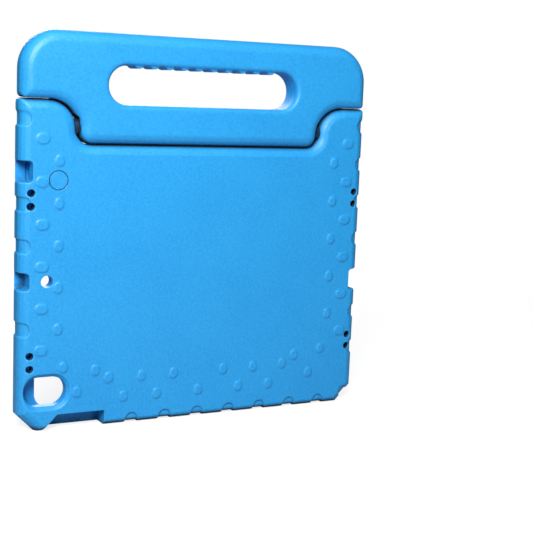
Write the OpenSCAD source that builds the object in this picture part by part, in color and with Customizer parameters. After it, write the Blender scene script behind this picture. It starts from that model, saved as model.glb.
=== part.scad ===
// Moulded foam case for a 10.5 inch tablet, with a carrying handle that folds back as a stand.
// It stands upright on its long bottom edge: X is the width, -Y the screen side, +Y the back
// and +Z up. The origin is at the middle of the footprint, at the bottom edge.

/* [Tablet] */
// Length of the tablet the case is made for
tablet_l = 250.6; // [220:0.1:310]
// Width of the tablet
tablet_w = 174.1; // [150:0.1:230]
// Thickness of the tablet
tablet_t = 6.1; // [5:0.1:9]
// Clearance around the tablet on every side
tablet_gap = 0.2; // [0:0.05:1]

/* [Case body] */
// Thickness of the foam wall at each end of the tablet
end_wall = 7.5; // [6:0.1:14]
// Thickness of the foam wall below the tablet
bottom_wall = 8.75; // [7:0.25:14]
// Thickness of the foam wall between the tablet and the handle
top_wall = 13.3; // [11:0.1:20]
// Thickness of the lip in front of the tablet
lip_t = 3; // [2:0.1:4.5]
// Thickness of the foam behind the tablet
back_t = 9.7; // [8:0.1:14]
// How far the lip covers each end of the tablet
lip_end = 8.3; // [5:0.1:12]
// How far the lip covers the long sides of the tablet
lip_side = 3.6; // [2:0.1:8]
// Corner radius of the front window
window_r = 10; // [4:0.5:16]
// Length of the facet across each bottom corner, measured along the edges
corner_cut = 12; // [6:0.5:18]

/* [Ears] */
// Width of each ear beside the handle
ear_w = 39.5; // [32:0.5:48]
// Radius of the inner top corner of an ear
ear_r = 20; // [17:0.5:22]
// Radius of the corners of the notch floor
notch_r = 9.5; // [9.5:0.5:13]
// Height of the ears above the pivot
ear_rise = 18.6; // [18:0.1:22]

/* [Handle] */
// Thickness of the handle
handle_t = 20.5; // [17:0.1:25]
// Height of the handle above the pivot
handle_rise = 63.8; // [58:0.2:80]
// Radius of the top corners of the handle
handle_r = 26; // [12:0.5:30]
// Side gap between the handle and each ear
handle_gap = 1.6; // [1.5:0.1:2.5]
// Length of the finger slot
grip_l = 145; // [100:1:150]
// Height of the finger slot
grip_h = 26.6; // [20:0.2:30]
// Number of finger ridges in the slot
ridge_count = 10; // [6:1:12]
// How far a finger ridge stands into the slot
ridge_h = 1.8; // [1:0.1:2.6]

/* [Pivots] */
// Clearance that the foam keeps while the handle turns
turn_gap = 0.4; // [0.3:0.05:0.6]
// Diameter of the stud journal that the handle turns on
journal_d = 7; // [5:0.5:8]
// Radial clearance between a journal and its bush
journal_fit = 0.05; // [0.03:0.01:0.1]
// Outside diameter of a bush
bush_d = 10.5; // [9.5:0.5:12]

/* [Grip relief] */
// Depth of the scallops around the edge
scallop_d = 1; // [0.5:0.1:1.4]
// Width of a scallop
scallop_w = 9.6; // [7:0.2:12]
// Spacing of the scallops along the ends
scallop_pitch = 28.3; // [24:0.1:34]
// Height of the raised pads on the back
pad_h = 0.7; // [0.3:0.1:0.7]

/* [Hidden] */
$fn = 64;

foam = [0.16, 0.60, 0.93];
nylon = [0.10, 0.16, 0.26];
reach = 400;
slack = 1;

case_t = lip_t + tablet_t + tablet_gap + back_t;
front = -case_t / 2;
back = case_t / 2;
front_round = 0.34 * case_t;
back_round = 0.41 * case_t;
base_round = 0.24 * case_t;
notch_round = back_round + 1;
flats = 4;
tight = 1 / cos(45 / flats);

bay_l = tablet_l + 2 * tablet_gap;
bay_h = tablet_w + 2 * tablet_gap;
case_half = bay_l / 2 + end_wall;
bay_z = bottom_wall + bay_h / 2;
floor_z = bottom_wall + bay_h + top_wall;
bay_front = front + lip_t;
bay_back = bay_front + tablet_t + tablet_gap;
window_half_l = bay_l / 2 - lip_end;
window_half_h = bay_h / 2 - lip_side;

pivot_z = floor_z + handle_t / 2 + turn_gap;
ear_z = pivot_z + ear_rise;
ear_corner = 3;
notch_half = case_half - ear_w;
flare_x = notch_half + ear_r;
ear_swing = norm([case_t / 2 - front_round, ear_rise - front_round]) + tight * front_round;

handle_round = 0.415 * handle_t;
stem_half = notch_half - handle_gap;
stem_nest = 0.6;
stem_drop = handle_t / 2 + turn_gap + stem_nest;
stem_r = handle_round + 0.4;
notch_corner = max(notch_r, stem_r + turn_gap);
stem_spare = 0.7;
stem_swing = norm([handle_t / 2 - handle_round, stem_drop - handle_round]) + tight * handle_round;
handle_half = case_half - 0.5;
handle_z = pivot_z + handle_rise;
shoulder_nest = 1.2;
shoulder_z = ear_z - shoulder_nest;
shoulder_corner = 4;
flare_r = ear_r + 0.5;
grip_z = handle_z - 21.3 - grip_h / 2;
grip_round = 3;
ridge_d = 7.4;
ridge_pitch = (grip_l - grip_h - 6) / ridge_count;

journal_l = 16.5;
shank_l = 20;
flange_d = 12;
flange_t = 1.5;
washer_t = 1;
bush_l = 16;

home_h = 37;
home_relief = 2.2;
speaker_d = 5.1;
speaker_pitch = 9;
speaker_z = 55.2;
mic_d = 8.2;
mic_x = case_half - 18.8;
mic_z = bay_z + 7.7;
jack_z = bay_z + 81.5;
camera_l = 30;
camera_h = 20.6;
camera_x = case_half - 19;
camera_z = 27.2;
camera_bevel = 2.6;
volume_x0 = case_half - 61.5;
volume_x1 = case_half - 22.6;
pad_pitch = 28.6;
oval_l = 8.7;
oval_h = 6.5;
egg_w = 5.9;
egg_top = 5.1;
egg_run = 1.7;
pad_z = ear_z - 26.2;
step_w = 3.7;
step_d = 0.8;
ring_d = 12.7;
ring_w = 0.5;
scallop_z = bay_z + 31.6;
scallop_run = 7.5;
facet_scallop_w = scallop_w - 1.6;

// ---- profiles -------------------------------------------------------------------------------

function reversed(points) = [for (i = [len(points) - 1:-1:0]) points[i]];

function swapped(points) = [for (p = points) [p[1], p[0]]];

function flipped(points) = [for (p = points) [p[0], -p[1]]];

// Quarter round about (x, y) that starts at angle a0, made of short flats outside the radius.
function quarter(x, y, r, a0) = [for (i = [0:flats - 1]) let (a = a0 + (i + 0.5) * 90 / flats)
    [x + tight * r * cos(a), y + tight * r * sin(a)]];

// Softened edge at height a of a wall t thick, from its front face over to its back face.
function crest(a, t, rf, rb) = reversed(concat(
    quarter(t / 2 - rb, a - rb, rb, 0), quarter(rf - t / 2, a - rf, rf, 90)));

// Region between a softened edge at a and a straight end beyond the faces.
function beside(a, end, t, rf, rb) = let (c = crest(a, t, rf, rb), deep = t / 2 + slack)
    concat([[-deep, c[0][1]]], c, [[deep, c[len(c) - 1][1]], [deep, end], [-deep, end]]);

// Closed section from a0 to a1 across the thickness t, softened at its far end and its near end.
function section(a0, a1, t, far, near) = concat(
    crest(a1, t, far[0], far[1]), flipped(reversed(crest(-a0, t, near[0], near[1]))));

// ---- solids that share the same soft edges ---------------------------------------------------

module along_x(length) {
    rotate([90, 0, 90]) translate([0, 0, -length / 2]) linear_extrude(length) children();
}

module along_y() {
    rotate([-90, 0, 0]) children();
}

// Disc across the thickness with both rims softened.
module soft_disc(r, t, rf, rb) {
    along_y() rotate_extrude() polygon(concat(
        [[0, -t / 2]], swapped(crest(r, t, rf, rb)), [[0, t / 2]]));
}

// Round hole across the thickness that flares at both faces.
module flared_bore(r, t, rf, rb) {
    along_y() rotate_extrude() polygon(swapped(flipped(beside(-r, 0, t, rf, rb))));
}

// What rounding a corner takes away: sx and sz say which way the corner points.
module corner_waste(x, z, sx, sz, r, t, rf, rb) {
    difference() {
        translate([sx > 0 ? x - r : x - slack, -t / 2 - slack, sz > 0 ? z - r : z - slack])
            cube([r + slack, t + 2 * slack, r + slack]);
        translate([x - sx * r, 0, z - sz * r]) soft_disc(r, t, rf, rb);
    }
}

// What a small radius square to the faces takes off an outer corner.
module corner_trim(x, z, sz, r) {
    translate([0, -case_t, 0]) difference() {
        translate([x - r, 0, sz > 0 ? z - r : z - slack]) cube([r + slack, 2 * case_t, r + slack]);
        translate([x - r, 0, z - sz * r]) along_y() cylinder(r = r, h = 2 * case_t);
    }
}

// Block centred on X with soft edges all round, and softness of its own along its base.
module soft_block(half, z0, z1, t, soft, base) {
    intersection() {
        along_x(2 * half + 2 * slack) polygon(section(z0, z1, t, soft, base));
        translate([0, 0, z0 - slack]) linear_extrude(z1 - z0 + 2 * slack)
            polygon(swapped(section(-half, half, t, soft, soft)));
    }
}

module both_sides() {
    for (side = [0, 1]) mirror([side, 0, 0]) children();
}

// ---- case body ------------------------------------------------------------------------------

// Outside of the case with its two bottom corners cut off.
module case_shape(inset) {
    t = case_t - 2 * inset;
    rf = front_round - inset;
    rb = back_round - inset;
    rbase = base_round - inset;
    facet = (case_half - corner_cut) / sqrt(2) - inset;
    intersection() {
        soft_block(case_half - inset, inset, ear_z - inset, t, [rf, rb], [rbase, rbase]);
        for_facets() polygon(swapped(beside(facet, -reach, t, rf, rb)));
    }
}

// Common part of two extrusions that face the bottom corners.
module for_facets() {
    intersection() {
        rotate([0, 45, 0]) translate([0, 0, -reach]) linear_extrude(2 * reach) children();
        mirror([1, 0, 0]) rotate([0, 45, 0]) translate([0, 0, -reach])
            linear_extrude(2 * reach) children();
    }
}

// Notch for the handle, flared at both faces, with a trough that the stem turns in.
module notch() {
    top = ear_z + slack;
    along_x(2 * (notch_half - notch_corner))
        polygon(beside(floor_z, top, case_t, front_round, notch_round));
    both_sides() {
        translate([0, 0, floor_z + notch_corner]) linear_extrude(top - floor_z - notch_corner)
            polygon(swapped(flipped(beside(-notch_half, slack, case_t, front_round, notch_round))));
        translate([notch_half - notch_corner, 0, floor_z + notch_corner])
            flared_bore(notch_corner, case_t, front_round, notch_round);
        corner_waste(notch_half, ear_z, -1, 1, ear_r, case_t, front_round, notch_round);
        corner_trim(case_half, ear_z, 1, ear_corner);
        stem_trough();
    }
}

// Space that one half of the stem sweeps as it turns, with room for the flare past its corner.
module stem_trough() {
    r = stem_r + turn_gap;
    corner_x = stem_half - stem_r + stem_spare + slack;
    at_pivot(-slack) rotate_extrude() polygon(concat(
        [[0, 0], [stem_swing + turn_gap, 0]],
        quarter(stem_swing - stem_r, corner_x, r, 0),
        [[0, corner_x + r]]));
}

// Bay for the tablet, the window in front of it and the shallow step around the window.
module tablet_bay() {
    translate([-bay_l / 2, bay_front, bottom_wall]) cube([bay_l, bay_back - bay_front, bay_h]);
    window(0, bay_front + slack);
    window(step_w, front + step_d);
    translate([-window_half_l - home_relief, front - slack, bay_z - home_h / 2])
        cube([window_r, lip_t + 2 * slack, home_h]);
}

// Rounded window grown by rim and cut from the front face back to y1.
module window(rim, y1) {
    r = window_r + rim;
    x = window_half_l + rim - r;
    z = window_half_h + rim - r;
    depth = y1 - front + slack;
    for (sx = [-1, 1], sz = [-1, 1])
        translate([sx * x, front - slack, bay_z + sz * z]) along_y() cylinder(r = r, h = depth);
    translate([-x, front - slack, bay_z - z - r]) cube([2 * x, depth, 2 * (z + r)]);
    translate([-x - r, front - slack, bay_z - z]) cube([2 * (x + r), depth, 2 * z]);
}

// Side cutout, open at the back and the end, that stops at the lip.
module end_port(z, height, x0) {
    r = 2.6;
    for (s = [-1, 1]) translate([x0 + r, bay_front + 1, z + s * (height / 2 - r)])
        along_y() cylinder(r = r, h = case_t);
    translate([x0, bay_front + 1, z - height / 2 + r]) cube([end_wall * 2, case_t, height - 2 * r]);
    translate([x0 + r, bay_front + 1, z - height / 2]) cube([end_wall * 2, case_t, height]);
}

// Pair of speaker holes from the back face into the end of the bay.
module speaker_holes(z) {
    for (s = [-1, 1]) translate([bay_l / 2, bay_front + 3, z + s * speaker_pitch / 2])
        along_y() cylinder(d = speaker_d, h = case_t);
}

// Opening through the back wall with round ends and a wide bevel.
module camera_window() {
    r = camera_h / 2;
    x = camera_x + camera_l / 2 - r;
    for (s = [-1, 1]) translate([camera_x + s * (camera_l / 2 - r), 0, camera_z]) {
        along_y() translate([0, 0, bay_front + 2]) cylinder(r = r, h = case_t);
        along_y() translate([0, 0, back - camera_bevel])
            cylinder(r1 = r, r2 = r + camera_bevel + slack, h = camera_bevel + slack);
    }
    translate([camera_x, 0, camera_z]) along_x(camera_l - camera_h) polygon([
        [bay_front + 2, -r], [back - camera_bevel, -r],
        [back + slack, -r - camera_bevel - slack], [back + slack, r + camera_bevel + slack],
        [back - camera_bevel, r], [bay_front + 2, r]]);
}

// Opening for the volume buttons through the bottom wall, open at the back.
module volume_opening() {
    translate([0, bay_front + 1, 0]) rotate([90, 0, 0]) mirror([0, 0, 1])
        linear_extrude(case_t) polygon([
            [volume_x0, bottom_wall + 2.2], [volume_x1 - 5, bottom_wall + 2.2],
            [volume_x1 + 5.5, 0], [volume_x1 + 5.5, -slack], [volume_x0, -slack]]);
}

// Scallop cutter: a slot with a round end that starts at the edge and runs inwards.
module scallop(width) {
    x = width / 2 - scallop_run;
    translate([x, -case_t, 0]) along_y() cylinder(d = width, h = 2 * case_t);
    translate([x, -case_t, -width / 2]) cube([scallop_run + slack, 2 * case_t, width]);
}

// All scallops: up to seven along each end, one on a facet and the row along the bottom.
module scallops() {
    for (i = [0:6]) {
        z = scallop_z + (3 - i) * scallop_pitch;
        translate([-case_half, 0, z]) mirror([1, 0, 0]) scallop(scallop_w);
        if (abs(z - jack_z) > 14 && abs(z - mic_z) > 12 && i < 6)
            translate([case_half, 0, z]) scallop(scallop_w);
    }
    mirror([1, 0, 0]) rotate([0, 45, 0])
        translate([(case_half - corner_cut) / sqrt(2), 0, case_half / sqrt(2)])
            scallop(facet_scallop_w);
    for (i = [-4:4]) {
        x = i * (case_half - 31) / 4;
        if (x < volume_x0 - 8 || x > volume_x1 + 8)
            translate([x, 0, 0]) rotate([0, 90, 0]) scallop(scallop_w);
    }
}

// Shell of the case as deep as the scallops are.
module case_skin() {
    difference() {
        translate([-reach / 2, -case_t, -slack]) cube([reach, 2 * case_t, reach]);
        case_shape(scallop_d);
    }
}

// Raised pad on the back: an egg with its narrow end up, or a wide oval.
module pad(x, z, wide) {
    translate([x, back - slack, z]) rotate([90, 0, 0]) mirror([0, 0, 1])
        linear_extrude(pad_h + slack)
            if (wide) wide_pad_shape();
            else egg_pad_shape();
}

// Oval outline that lies across: three circles in a row.
module wide_pad_shape() {
    for (s = [-1:1]) translate([s * (oval_l - oval_h) / 2, 0]) circle(d = oval_h);
}

// Egg outline: a larger circle and a smaller one above it.
module egg_pad_shape() {
    translate([0, -egg_run / 2]) circle(d = egg_w);
    translate([0, egg_run / 2]) circle(d = egg_top);
}

// Pads: two staggered columns near each end and two staggered rows above the bottom edge.
module pads() {
    both_sides() {
        for (i = [0:5]) {
            z = pad_z - i * pad_pitch;
            if (i < 5) pad(case_half - 26.5, z - pad_pitch / 2, false);
            pad(case_half - 15, z, true);
        }
        for (i = [0:1]) {
            pad(32.5 + 25.4 * i, 20.2, false);
            pad(19.8 + 24.6 * i, 34, false);
        }
        pad(69, 34.6, false);
        pad(case_half - 54, 40.5, false);
        pad(case_half - 41, 26, false);
        pad(case_half - 31, 44.2, false);
    }
    pad(0, 20.2, false);
}

// Round groove that marks a cavity of the other port.
module ring_groove() {
    translate([mic_x - 7.2, back - 0.5, jack_z - 5.5]) along_y() difference() {
        cylinder(d = ring_d + ring_w, h = case_t);
        translate([0, 0, -slack]) cylinder(d = ring_d - ring_w, h = case_t);
    }
}

module case_body() {
    color(foam) {
        difference() {
            case_shape(0);
            notch();
            tablet_bay();
            end_port(jack_z, 14.3, case_half - 8.5);
            end_port(mic_z, 11.9, case_half - 6.8);
            mirror([1, 0, 0]) end_port(bay_z, 16, case_half - 8.5);
            both_sides() for (s = [-1, 1]) speaker_holes(mic_z + s * speaker_z);
            translate([mic_x, bay_back - slack, mic_z]) along_y() cylinder(d = mic_d, h = case_t);
            camera_window();
            volume_opening();
            ring_groove();
            intersection() {
                scallops();
                case_skin();
            }
            both_sides() ear_socket();
        }
        pads();
    }
}

// ---- handle ---------------------------------------------------------------------------------

// Concave corner between the stem and a shoulder, flared at both faces.
module shoulder_flare() {
    x = stem_half + flare_r;
    z = shoulder_z - flare_r;
    difference() {
        translate([stem_half - handle_round, -handle_t / 2, z])
            cube([flare_r + handle_round, handle_t, flare_r + handle_round]);
        translate([x, 0, z]) flared_bore(flare_r, handle_t, handle_round, handle_round);
    }
}

// Space that an ear and its washer sweep as the handle turns.
module ear_trough() {
    step = 10;
    r = (ear_r + turn_gap) / cos(step / 2);
    inner = ear_swing - ear_r;
    hub = max(flange_d / 2 + turn_gap, inner + r / 2);
    start = stem_half - 0.01;
    at_pivot(0) rotate_extrude() polygon(concat(
        [[0, start], [hub, start]],
        [for (a = [30:step:90]) [max(hub, inner + r * sin(a)), flare_x - r * cos(a)]],
        [[inner + r, case_half + slack], [0, case_half + slack]]));
}

// Finger slot with softened edges.
module grip_slot() {
    r = grip_h / 2;
    x = grip_l / 2 - r;
    for (s = [-1, 1]) translate([s * x, 0, grip_z])
        flared_bore(r, handle_t, grip_round, grip_round);
    translate([0, 0, grip_z]) for (s = [0, 1]) mirror([0, 0, s])
        along_x(2 * x) polygon(flipped(beside(-r, slack, handle_t, grip_round, grip_round)));
}

// Finger ridges under the upper wall of the slot.
module finger_ridges() {
    for (i = [0:ridge_count - 1])
        translate([(i - (ridge_count - 1) / 2) * ridge_pitch, grip_round - 1 - handle_t / 2,
                   grip_z + grip_h / 2 + ridge_d / 2 - ridge_h])
            along_y() cylinder(d = ridge_d, h = handle_t - 2 * grip_round + 2);
}

// Top of the handle with its shoulders over the ears.
module handle_top() {
    soft = [handle_round, handle_round];
    difference() {
        soft_block(handle_half, shoulder_z, handle_z, handle_t, soft, soft);
        both_sides() {
            corner_waste(handle_half, handle_z, 1, 1, handle_r, handle_t,
                         handle_round, handle_round);
            corner_trim(handle_half, ear_z + turn_gap, -1, shoulder_corner);
        }
    }
}

// Stem that stands in the notch, with round lower corners.
module handle_stem() {
    z0 = pivot_z - stem_drop;
    z1 = handle_z - handle_r;
    soft = [handle_round, handle_round];
    corner_x = stem_half - stem_r;
    corner_z = z0 + stem_r;
    along_x(2 * corner_x) polygon(section(z0, z1, handle_t, soft, soft));
    translate([0, 0, corner_z]) linear_extrude(z1 - corner_z)
        polygon(swapped(section(-stem_half, stem_half, handle_t, soft, soft)));
    for (s = [-1, 1]) translate([s * corner_x, 0, corner_z])
        soft_disc(stem_r, handle_t, handle_round, handle_round);
}

module handle() {
    color(foam) difference() {
        union() {
            difference() {
                union() {
                    handle_top();
                    handle_stem();
                    both_sides() shoulder_flare();
                }
                grip_slot();
            }
            finger_ridges();
        }
        both_sides() {
            ear_trough();
            handle_socket();
        }
    }
}

// ---- pivots ---------------------------------------------------------------------------------

// Puts a child drawn along +X from the face of an ear onto the pivot line.
module at_pivot(x) {
    translate([x, 0, pivot_z]) rotate([0, 90, 0]) children();
}

// Moulded stud: barbed shank held in the ear, flange against the foam, journal in the bush.
module pivot_stud() {
    at_pivot(notch_half - journal_l) cylinder(d1 = journal_d - 1, d2 = journal_d, h = 0.5);
    at_pivot(notch_half - journal_l + 0.5) cylinder(d = journal_d, h = journal_l - 0.5);
    at_pivot(notch_half) cylinder(d = flange_d, h = flange_t);
    at_pivot(notch_half + flange_t) cylinder(d = journal_d, h = shank_l);
    for (i = [0:2]) at_pivot(notch_half + flange_t + 4 + 5 * i)
        cylinder(d1 = journal_d + 1.6, d2 = journal_d, h = 3);
}

// Room in the ear for the stud, and for the washer that lies on its flange.
module ear_socket() {
    pivot_stud();
    at_pivot(notch_half - handle_gap) cylinder(d = flange_d + 1, h = handle_gap + flange_t);
}

module hinge_bush() {
    difference() {
        at_pivot(stem_half - bush_l) cylinder(d = bush_d, h = bush_l);
        at_pivot(stem_half - bush_l - slack)
            cylinder(d = journal_d + 2 * journal_fit, h = bush_l + 2 * slack);
    }
}

// Blind hole in the handle for the bush and the end of the journal.
module handle_socket() {
    at_pivot(stem_half - bush_l) cylinder(d = bush_d, h = bush_l + slack);
    at_pivot(stem_half - bush_l - 1.5) cylinder(d = journal_d + 1, h = bush_l);
}

module friction_washer() {
    difference() {
        at_pivot(notch_half - washer_t) cylinder(d = flange_d, h = washer_t);
        at_pivot(notch_half - handle_gap)
            cylinder(d = journal_d + 2 * journal_fit, h = 2 * handle_gap);
    }
}

module pivot_stud_left() {
    color(nylon) mirror([1, 0, 0]) pivot_stud();
}

module pivot_stud_right() {
    color(nylon) pivot_stud();
}

module hinge_bush_left() {
    color(nylon) mirror([1, 0, 0]) hinge_bush();
}

module hinge_bush_right() {
    color(nylon) hinge_bush();
}

module friction_washer_left() {
    color(nylon) mirror([1, 0, 0]) friction_washer();
}

module friction_washer_right() {
    color(nylon) friction_washer();
}

case_body();
handle();
pivot_stud_left();
pivot_stud_right();
hinge_bush_left();
hinge_bush_right();
friction_washer_left();
friction_washer_right();
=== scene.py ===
import math

import bmesh
import bpy
from bpy.props import FloatProperty, FloatVectorProperty, IntProperty, PointerProperty
from mathutils import Euler, Matrix, Vector


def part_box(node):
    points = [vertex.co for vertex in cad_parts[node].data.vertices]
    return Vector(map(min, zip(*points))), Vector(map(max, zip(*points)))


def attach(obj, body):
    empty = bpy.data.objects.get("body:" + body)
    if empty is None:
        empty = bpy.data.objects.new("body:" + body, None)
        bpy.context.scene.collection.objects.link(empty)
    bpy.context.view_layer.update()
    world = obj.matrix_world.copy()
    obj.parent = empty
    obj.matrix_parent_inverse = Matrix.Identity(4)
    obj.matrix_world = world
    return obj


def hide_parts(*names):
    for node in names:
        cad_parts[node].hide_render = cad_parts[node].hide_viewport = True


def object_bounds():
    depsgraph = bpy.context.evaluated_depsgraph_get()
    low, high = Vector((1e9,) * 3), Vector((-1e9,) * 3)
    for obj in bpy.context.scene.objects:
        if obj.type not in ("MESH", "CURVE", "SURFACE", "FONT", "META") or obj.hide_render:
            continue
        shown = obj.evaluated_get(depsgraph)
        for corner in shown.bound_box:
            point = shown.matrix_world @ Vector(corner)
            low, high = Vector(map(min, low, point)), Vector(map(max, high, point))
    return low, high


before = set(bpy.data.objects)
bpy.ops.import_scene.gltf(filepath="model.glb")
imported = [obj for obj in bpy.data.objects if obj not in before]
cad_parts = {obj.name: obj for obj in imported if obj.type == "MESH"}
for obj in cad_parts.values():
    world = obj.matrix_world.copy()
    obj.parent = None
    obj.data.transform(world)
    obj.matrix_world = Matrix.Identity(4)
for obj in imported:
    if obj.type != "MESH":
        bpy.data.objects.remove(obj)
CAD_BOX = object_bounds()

bl_info = {
    "name": "Foam tablet case",
    "version": (1, 0, 0),
    "blender": (4, 5, 0),
    "location": "View3D > Sidebar > Case",
    "description": "Builds the foam tablet case with its folding handle, and a plain stage for it",
    "category": "Add Mesh",
}

# Places in metres, measured from the boxes of the two blocks and of the whole case.
CASE_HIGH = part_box("case_body")[1]
HANDLE_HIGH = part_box("handle")[1]
MIDDLE = (Vector(CAD_BOX[0]) + Vector(CAD_BOX[1])) / 2
PAD_HEIGHT = 0.0007
BACK = CASE_HIGH.y - PAD_HEIGHT
BAY_TOP = CASE_HIGH.z - 0.0400
EAR_TOP = CASE_HIGH.z - 0.0115
END_STRIP = CASE_HIGH.x - 0.0125
SKIN = 0.00005

RING_CENTRE = (0.107, 0.172)
RING_RADIUS = 0.0064
RING_WIDTH = 0.00055
RING_DEEP, RING_SHALLOW = BACK - 0.0008, BACK - 0.0004

RIDGES_Z = HANDLE_HIGH.z - 0.0225
RIDGES_REACH = Vector((0.060, 0.0085, 0.005))
SEAM = (0.0001, 0.00035)

FLOOR_DROP = 0.0002
KEY_PLACE, KEY_SIZE = (0.38, 0.66, 0.62), 0.42
FILL_PLACE, FILL_SIZE = (0.10, 0.50, 1.15), 0.5
FRONT_PLACE, FRONT_SIZE = (-0.25, -1.20, 0.60), 0.7
SENSOR = 36
WHITE = (1, 1, 1, 1)
BLACK = (0, 0, 0, 1)


# ---- settings -------------------------------------------------------------------------------

class FoamSettings(bpy.types.PropertyGroup):
    """Sizes and colours of the moulded foam."""

    colour: FloatVectorProperty(
        name="Colour", description="Colour of the foam", subtype="COLOR",
        default=(0.030, 0.400, 0.860), min=0, max=1)
    # Shade is the colour of the foam's mottling; darkened copies of it also give the painted shade
    # in creases and the painted shadow in gaps.
    shade: FloatVectorProperty(
        name="Shade", description="Deeper colour in the mottling and the creases", subtype="COLOR",
        default=(0.014, 0.290, 0.720), min=0, max=1)
    rubbed: FloatVectorProperty(
        name="Rubbed", description="Paler colour that handling leaves on the edges",
        subtype="COLOR", default=(0.075, 0.480, 0.930), min=0, max=1)
    voxel: FloatProperty(
        name="Detail", description="Size of the smallest detail kept when the edges are softened",
        default=0.0005, min=0.0003, max=0.003, unit="LENGTH", precision=5)
    rounds: IntProperty(
        name="Softness", description="How often the edges are relaxed", default=5, min=0, max=60)
    more_rounds: IntProperty(
        name="Roundness", description="How often the broad roundings are relaxed after that",
        default=24, min=0, max=60)
    faces: IntProperty(
        name="Faces", description="Most triangles that one foam block keeps",
        default=190000, min=20000, max=199000)
    # Reach of the painted shadow: ambient occlusion that counts the nearby pieces darkens the
    # foam's colour towards black in gaps and creases.
    painted_gap_shade: FloatProperty(
        name="Shelter", description="How far the dust and shadow of gaps and creases reaches",
        default=0.0055, min=0.0005, max=0.02, unit="LENGTH", precision=4)
    grain: FloatProperty(
        name="Grain", description="Size of the moulded skin's grain",
        default=0.0013, min=0.0002, max=0.005, unit="LENGTH", precision=5)


class PivotSettings(bpy.types.PropertyGroup):
    """Colour of the nylon pivots."""

    colour: FloatVectorProperty(
        name="Colour", description="Colour of the nylon", subtype="COLOR",
        default=(0.010, 0.030, 0.070), min=0, max=1)


class StageSettings(bpy.types.PropertyGroup):
    """The plain floor, the studio light and the camera."""

    floor_colour: FloatVectorProperty(
        name="Floor", description="Colour of the floor", subtype="COLOR",
        default=(0.35, 0.35, 0.35), min=0, max=1)
    floor_glow: FloatProperty(
        name="Floor glow", description="How much the paper is lifted towards white",
        default=0.78, min=0, max=1)
    floor_reach: FloatProperty(
        name="Floor reach", description="How far the paper runs before it fades away",
        default=0.9, min=0.3, max=5, unit="LENGTH")
    key_power: FloatProperty(
        name="Key light", description="Power of the light beside the camera", default=9.7, min=0,
        unit="POWER")
    fill_power: FloatProperty(
        name="Fill light", description="Power of the light overhead", default=3.0, min=0,
        unit="POWER")
    front_power: FloatProperty(
        name="Front light", description="Power of the light on the screen side", default=8,
        min=0, unit="POWER")
    sky: FloatProperty(
        name="Surroundings", description="Strength of the light from all round",
        default=0.05, min=0, max=2)
    aim: FloatVectorProperty(
        name="Aim", description="Point that the camera looks at", unit="LENGTH", precision=4,
        default=MIDDLE + Vector((-0.0343, 0.0434, -0.0212)))
    azimuth: FloatProperty(
        name="Azimuth", description="Turn of the camera about the upright axis", unit="ROTATION",
        default=math.radians(151.66))
    elevation: FloatProperty(
        name="Elevation", description="How far the camera looks down", unit="ROTATION",
        default=math.radians(8.49))
    roll: FloatProperty(
        name="Roll", description="Turn of the camera about its own view", unit="ROTATION",
        default=math.radians(2.35))
    distance: FloatProperty(
        name="Distance", description="From the camera to the point that it looks at",
        default=0.822, min=0.2, max=5, unit="LENGTH")
    lens: FloatProperty(
        name="Lens", description="Focal length of the camera", default=78.8, min=20, max=200,
        unit="CAMERA")


# ---- shader maths ---------------------------------------------------------------------------

class Wire:
    """A socket in a material, so that shader maths reads as a Python expression."""

    def __init__(self, material, socket):
        self.material = material
        self.socket = socket

    def node(self, kind, settings=None, inputs=None, output=0):
        """Adds a node, sets its settings first and then its sockets, and returns one output."""
        made = self.material.node_tree.nodes.new(kind)
        for name, value in (settings or {}).items():
            setattr(made, name, value)
        for key, value in (inputs or {}).items():
            if isinstance(value, Wire):
                self.material.node_tree.links.new(value.socket, made.inputs[key])
            else:
                made.inputs[key].default_value = value
        return Wire(self.material, made.outputs[output])

    def _math(self, operation, a, b=0.0):
        return self.node("ShaderNodeMath", {"operation": operation}, {0: a, 1: b})

    def __add__(self, other):
        return self._math("ADD", self, other)

    def __radd__(self, other):
        return self._math("ADD", other, self)

    def __sub__(self, other):
        return self._math("SUBTRACT", self, other)

    def __rsub__(self, other):
        return self._math("SUBTRACT", other, self)

    def __mul__(self, other):
        return self._math("MULTIPLY", self, other)

    def __rmul__(self, other):
        return self._math("MULTIPLY", other, self)

    def __pow__(self, other):
        return self._math("POWER", self, other)

    def __abs__(self):
        return self._math("ABSOLUTE", self)

    def greatest(self, other):
        return self._math("MAXIMUM", self, other)

    def root(self):
        return self._math("SQRT", self)

    def between(self, low, high):
        """0 below low, 1 above high, and a smooth step between."""
        return self.node("ShaderNodeMapRange", {"interpolation_type": "SMOOTHSTEP"},
                         {0: self, 1: low, 2: high, 3: 0.0, 4: 1.0})

    def spread(self, low, high):
        """Stretches 0 to 1 to the range from low to high."""
        return self.node("ShaderNodeMapRange", {}, {0: self, 1: 0.0, 2: 1.0, 3: low, 4: high})

    def blend(self, first, second):
        """The first colour where this is 0 and the second where it is 1."""
        return self.node("ShaderNodeMix", {"data_type": "RGBA"},
                         {"Factor": self, 6: first, 7: second}, output=2)

    def part(self, name):
        """One coordinate of a vector."""
        index = "XYZ".index(name)
        return self.node("ShaderNodeSeparateXYZ", {}, {0: self}, output=index)


def new_material(name):
    """A material with only its shader and output, and the Object coordinates to draw on."""
    material = bpy.data.materials.new(name)
    material.use_nodes = True
    shader = material.node_tree.nodes["Principled BSDF"]
    coordinates = material.node_tree.nodes.new("ShaderNodeTexCoord")
    return material, shader, Wire(material, coordinates.outputs["Object"])


def feed(shader, socket, wire):
    """Links a wire to one of the shader's sockets."""
    wire.material.node_tree.links.new(wire.socket, shader.inputs[socket])


def ring_line(x, z, centre, radius, width):
    """1 on a thin circle of that radius in the XZ plane, and 0 away from it."""
    across = x - centre[0]
    up = z - centre[1]
    off = abs((across * across + up * up).root() - radius)
    return 1.0 - off.between(width * 0.35, width)


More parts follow.
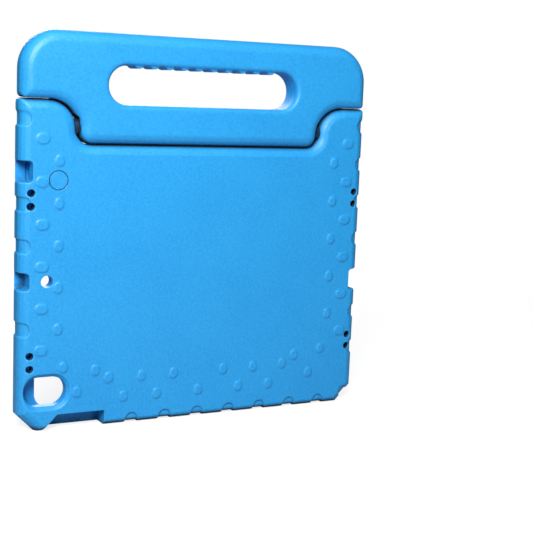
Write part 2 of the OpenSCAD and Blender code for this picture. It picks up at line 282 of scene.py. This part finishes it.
def foam_material(name, settings, marks):
    """Moulded EVA foam: a satin skin with fine even grain, faint clouds and rubbed edges, with
    painted shade in its creases and painted shadow in the gaps by other pieces.

    marks(place) gives the piece's own thin lines, 1 on a line and 0 elsewhere.
    """
    material, shader, place = new_material(name)
    noise = "ShaderNodeTexNoise"
    per_grain = 1 / settings.grain
    cloud = place.node(noise, {}, {"Vector": place, "Scale": 22.0, "Detail": 2.0})
    speck = place.node(noise, {}, {"Vector": place, "Scale": per_grain * 0.8, "Detail": 3.0,
                                   "Roughness": 0.7})
    pebble = place.node("ShaderNodeTexVoronoi", {"feature": "SMOOTH_F1"},
                        {"Vector": place, "Scale": per_grain, "Smoothness": 0.6})
    fine = place.node(noise, {}, {"Vector": place, "Scale": per_grain * 2.6, "Detail": 2.0})
    edge = place.node("ShaderNodeNewGeometry", output="Pointiness")
    # Painted shade: ambient occlusion, counting the neighbouring pieces too, measures how sheltered
    # each point is in gaps and creases.
    painted_gap_shade = place.node("ShaderNodeAmbientOcclusion", {"samples": 6},
                         {"Distance": settings.painted_gap_shade}, output="AO")
    line = marks(place)

    tone = cloud.between(0.30, 0.70) * 0.16 + speck.between(0.34, 0.66) * 0.50
    pores = pebble.between(0.30, 0.80) * 0.22
    base = (tone + pores).blend((*settings.colour, 1), (*settings.shade, 1))
    rubbed = edge.between(0.505, 0.545) * (0.25 + 0.35 * speck)
    base = rubbed.blend(base, (*settings.rubbed, 1))
    # Darkened copy of the shade colour: painted shade in concave creases, and also the colour of
    # the piece's own thin lines.
    crease_shade_and_line_colour = [0.22 * c for c in settings.shade]
    # Near-black copy of the shade colour, used for the painted shadow in gaps and creases.
    gap_shadow_colour = [0.02 * c for c in settings.shade]
    # Painted shade: concave creases (low pointiness) are darkened.
    painted_crease_shade = (1 - edge.between(0.452, 0.494)) * 0.55
    base = painted_crease_shade.blend(base, (*crease_shade_and_line_colour, 1))
    # Painted shadow: sheltered points in gaps and creases are darkened almost to black.
    base = (1 - painted_gap_shade.between(0.20, 0.98)).blend(base, (*gap_shadow_colour, 1))
    feed(shader, "Base Color", (line * 0.92).blend(base, (*crease_shade_and_line_colour, 1)))
    sheen = (speck * 0.6 + fine * 0.4).spread(0.36, 0.54)
    feed(shader, "Roughness", sheen.greatest(1 - painted_gap_shade.between(0.30, 0.90)))

    height = pebble * -0.6 + fine * 0.4 - line * 2.5
    bump = place.node("ShaderNodeBump", {}, {"Strength": 0.55, "Distance": 0.00016,
                                            "Height": height})
    feed(shader, "Normal", bump)
    shader.inputs["Specular IOR Level"].default_value = 0.50
    return material


def nylon_material(name, settings):
    """Dark moulded nylon with a satin gloss and faint flow marks."""
    material, shader, place = new_material(name)
    flow = place.node("ShaderNodeTexNoise", {}, {"Vector": place, "Scale": 900.0, "Detail": 3.0})
    deep = [0.82 * c for c in settings.colour]
    feed(shader, "Base Color", flow.between(0.35, 0.65).blend((*settings.colour, 1), (*deep, 1)))
    feed(shader, "Roughness", flow.spread(0.32, 0.48))
    bump = place.node("ShaderNodeBump", {}, {"Strength": 0.15, "Distance": 0.0001,
                                            "Height": flow})
    feed(shader, "Normal", bump)
    return material


# ---- foam blocks ----------------------------------------------------------------------------

def evaluated(obj):
    """The object's mesh with its modifiers worked out, which then replaces its own."""
    bpy.context.view_layer.update()
    graph = bpy.context.evaluated_depsgraph_get()
    mesh = bpy.data.meshes.new_from_object(obj.evaluated_get(graph))
    old = obj.data
    obj.modifiers.clear()
    obj.data = mesh
    mesh.name = obj.name
    bpy.data.meshes.remove(old)


def relaxed(block, rounds, chosen=None):
    """Relaxes the whole skin, or only the vertices at the places that chosen() is true for."""
    relax = block.modifiers.new("relax", "SMOOTH")
    relax.factor = 0.5
    relax.iterations = rounds
    if chosen:
        group = block.vertex_groups.new(name="chosen")
        picked = [v.index for v in block.data.vertices if chosen(v.co)]
        group.add(picked, 1.0, "REPLACE")
        relax.vertex_group = group.name
    evaluated(block)


def soft_block(node, name, settings, rounded):
    """The block of foam that a node outlines, with the soft edges that moulding leaves.

    rounded(co) is true where the broad roundings are, which are relaxed further.
    """
    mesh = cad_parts[node].data.copy()
    mesh.materials.clear()
    work = bmesh.new()
    work.from_mesh(mesh)
    bmesh.ops.remove_doubles(work, verts=work.verts, dist=1e-6)
    work.to_mesh(mesh)
    work.free()
    block = bpy.data.objects.new(name, mesh)
    bpy.context.scene.collection.objects.link(block)

    remesh = block.modifiers.new("skin", "REMESH")
    remesh.mode = "VOXEL"
    remesh.voxel_size = settings.voxel
    relaxed(block, settings.rounds)
    relaxed(block, settings.more_rounds, rounded)

    triangles = 2 * len(block.data.polygons)
    if triangles > settings.faces:
        thin = block.modifiers.new("thin", "DECIMATE")
        thin.ratio = settings.faces / triangles
        evaluated(block)
    if not block.data.polygons:
        raise RuntimeError(f"nothing is left of {name} after its edges were softened")
    block.vertex_groups.clear()
    block.data.shade_smooth()
    return block


# ---- operators ------------------------------------------------------------------------------

class CASE_OT_body(bpy.types.Operator):
    """Make the foam body of the case."""

    bl_idname = "case.body"
    bl_label = "Case body"

    def execute(self, context):
        settings = context.scene.case_foam

        def rounded(co):
            in_notch = co.z > BAY_TOP and abs(co.x) < END_STRIP
            return (in_notch or co.z > EAR_TOP) and co.y < BACK - SKIN

        block = soft_block("case_body", "soft_case_body", settings, rounded)

        def marks(place):
            on_back = place.part("Y").between(RING_DEEP, RING_SHALLOW)
            ring = ring_line(place.part("X"), place.part("Z"), RING_CENTRE, RING_RADIUS, RING_WIDTH)
            return ring * on_back

        block.data.materials.append(foam_material("case foam", settings, marks))
        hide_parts("case_body")
        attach(block, "case")
        return {"FINISHED"}


class CASE_OT_handle(bpy.types.Operator):
    """Make the foam handle."""

    bl_idname = "case.handle"
    bl_label = "Handle"

    def execute(self, context):
        settings = context.scene.case_foam

        def rounded(co):
            off = (abs(co.x), abs(co.y), abs(co.z - RIDGES_Z))
            return any(far >= reach for far, reach in zip(off, RIDGES_REACH))

        block = soft_block("handle", "soft_handle", settings, rounded)

        def marks(place):
            return 1.0 - abs(place.part("Y")).between(*SEAM)

        block.data.materials.append(foam_material("handle foam", settings, marks))
        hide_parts("handle")
        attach(block, "carry_handle")
        return {"FINISHED"}


class CASE_OT_pivots(bpy.types.Operator):
    """Finish the nylon studs, bushes and washers of the hinge."""

    bl_idname = "case.pivots"
    bl_label = "Pivots"

    def execute(self, context):
        nylon = nylon_material("nylon", context.scene.case_pivots)
        for name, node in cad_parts.items():
            if name.startswith(("pivot_stud", "hinge_bush", "friction_washer")):
                node.data.materials.clear()
                node.data.materials.append(nylon)
        return {"FINISHED"}


class CASE_OT_stage(bpy.types.Operator):
    """Lay the plain floor, hang the studio lights and set up the camera."""

    bl_idname = "case.stage"
    bl_label = "Stage"

    def execute(self, context):
        settings = context.scene.case_stage
        self.floor(settings)
        self.lights(settings)
        self.camera(context, settings)
        return {"FINISHED"}

    def floor(self, settings):
        work = bmesh.new()
        bmesh.ops.create_grid(work, x_segments=2, y_segments=2, size=settings.floor_reach)
        bmesh.ops.translate(work, verts=work.verts, vec=(0, 0, -FLOOR_DROP))
        mesh = bpy.data.meshes.new("floor")
        work.to_mesh(mesh)
        work.free()
        floor = bpy.data.objects.new("floor", mesh)
        bpy.context.scene.collection.objects.link(floor)
        material, shader, place = new_material("floor paper")
        tone = place.node("ShaderNodeTexNoise", {}, {"Vector": place, "Scale": 60.0})
        pale = [0.985 * c for c in settings.floor_colour]
        feed(shader, "Base Color", tone.blend((*settings.floor_colour, 1), (*pale, 1)))
        shader.inputs["Roughness"].default_value = 0.9
        shader.inputs["Specular IOR Level"].default_value = 0.05
        seen = place.node("ShaderNodeLightPath", output="Is Camera Ray")
        feed(shader, "Emission Color", seen.blend(BLACK, WHITE))
        shader.inputs["Emission Strength"].default_value = settings.floor_glow
        far = (place.part("X") ** 2 + place.part("Y") ** 2).root()
        feed(shader, "Alpha", 1 - far.between(0.30 * settings.floor_reach, settings.floor_reach))
        mesh.materials.append(material)

    def light(self, name, place, size, power):
        """A soft round light that faces the middle of the case."""
        data = bpy.data.lights.new(name, "AREA")
        data.shape = "DISK"
        data.size = size
        data.energy = power
        lamp = bpy.data.objects.new(name, data)
        lamp.location = place
        lamp.rotation_euler = (MIDDLE - Vector(place)).to_track_quat("-Z", "Y").to_euler()
        bpy.context.scene.collection.objects.link(lamp)

    def lights(self, settings):
        self.light("key", KEY_PLACE, KEY_SIZE, settings.key_power)
        self.light("fill", FILL_PLACE, FILL_SIZE, settings.fill_power)
        self.light("front", FRONT_PLACE, FRONT_SIZE, settings.front_power)
        world = bpy.data.worlds.new("studio")
        world.use_nodes = True
        tree = world.node_tree
        backdrop = tree.nodes["Background"]
        around = tree.nodes.new("ShaderNodeBackground")
        seen = tree.nodes.new("ShaderNodeLightPath")
        mix = tree.nodes.new("ShaderNodeMixShader")
        backdrop.inputs["Color"].default_value = WHITE
        around.inputs["Color"].default_value = WHITE
        around.inputs["Strength"].default_value = settings.sky
        tree.links.new(seen.outputs["Is Camera Ray"], mix.inputs["Fac"])
        tree.links.new(around.outputs[0], mix.inputs[1])
        tree.links.new(backdrop.outputs[0], mix.inputs[2])
        tree.links.new(mix.outputs[0], tree.nodes["World Output"].inputs["Surface"])
        bpy.context.scene.world = world

    def camera(self, context, settings):
        data = bpy.data.cameras.new("camera")
        data.lens = settings.lens
        data.sensor_width = SENSOR
        camera = bpy.data.objects.new("camera", data)
        tilt = math.pi / 2 - settings.elevation
        turn = Euler((tilt, 0, settings.azimuth)).to_matrix()
        away = turn @ Vector((0, 0, settings.distance))
        camera.location = Vector(settings.aim) + away
        camera.rotation_euler = (turn @ Matrix.Rotation(settings.roll, 3, "Z")).to_euler()
        bpy.context.scene.collection.objects.link(camera)
        context.scene.camera = camera
        context.scene.view_settings.view_transform = "Standard"


class CASE_PT_panel(bpy.types.Panel):
    """Sizes, colours and the steps that build the case."""

    bl_idname = "CASE_PT_panel"
    bl_label = "Foam tablet case"
    bl_space_type = "VIEW_3D"
    bl_region_type = "UI"
    bl_category = "Case"

    def draw(self, context):
        layout = self.layout
        for group in ("case_foam", "case_pivots", "case_stage"):
            settings = getattr(context.scene, group)
            box = layout.box()
            for name in settings.bl_rna.properties.keys():
                if name not in ("rna_type", "name"):
                    box.prop(settings, name)
        for step in STEPS:
            layout.operator(step.bl_idname)


GROUPS = {"case_foam": FoamSettings, "case_pivots": PivotSettings, "case_stage": StageSettings}
STEPS = (CASE_OT_body, CASE_OT_handle, CASE_OT_pivots, CASE_OT_stage)


def register():
    for name, group in GROUPS.items():
        bpy.utils.register_class(group)
        setattr(bpy.types.Scene, name, PointerProperty(type=group))
    for step in STEPS:
        bpy.utils.register_class(step)
    bpy.utils.register_class(CASE_PT_panel)


def unregister():
    bpy.utils.unregister_class(CASE_PT_panel)
    for step in reversed(STEPS):
        bpy.utils.unregister_class(step)
    for name, group in GROUPS.items():
        delattr(bpy.types.Scene, name)
        bpy.utils.unregister_class(group)


def main():
    register()
    bpy.ops.case.body()
    bpy.ops.case.handle()
    bpy.ops.case.pivots()
    bpy.ops.case.stage()
    bpy.context.view_layer.update()


if __name__ == "__main__":
    main()
